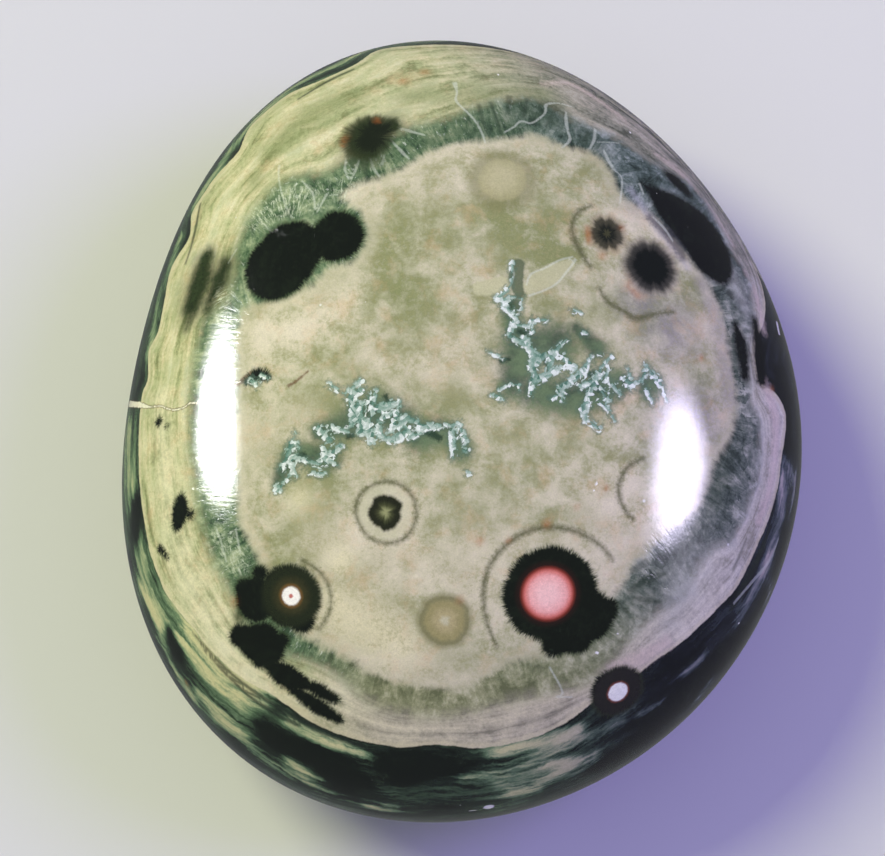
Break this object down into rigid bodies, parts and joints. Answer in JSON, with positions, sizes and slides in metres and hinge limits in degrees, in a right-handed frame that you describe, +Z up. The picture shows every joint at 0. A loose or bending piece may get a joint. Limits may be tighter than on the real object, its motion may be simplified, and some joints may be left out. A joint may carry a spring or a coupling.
{
  "type": "ocean jasper palm stone",
  "caption": "Polished orbicular jasper pebble shaped to fill a palm, egg-like in outline, domed above, shallower below, with a small flat to rest on.",
  "frame": {"origin": "on the resting surface, below the middle of the stone's box", "axes": "+Z up through the domed face, +Y along the stone's length towards its narrow end, +X across it"},
  "size_m": [0.0556, 0.0646, 0.0315],
  "materials": {
    "jasper": "polished, mottled cream, olive and black-green"
  },
  "bodies": {
    "root": {"palm_stone": "jasper"}
  },
  "joints": []
}
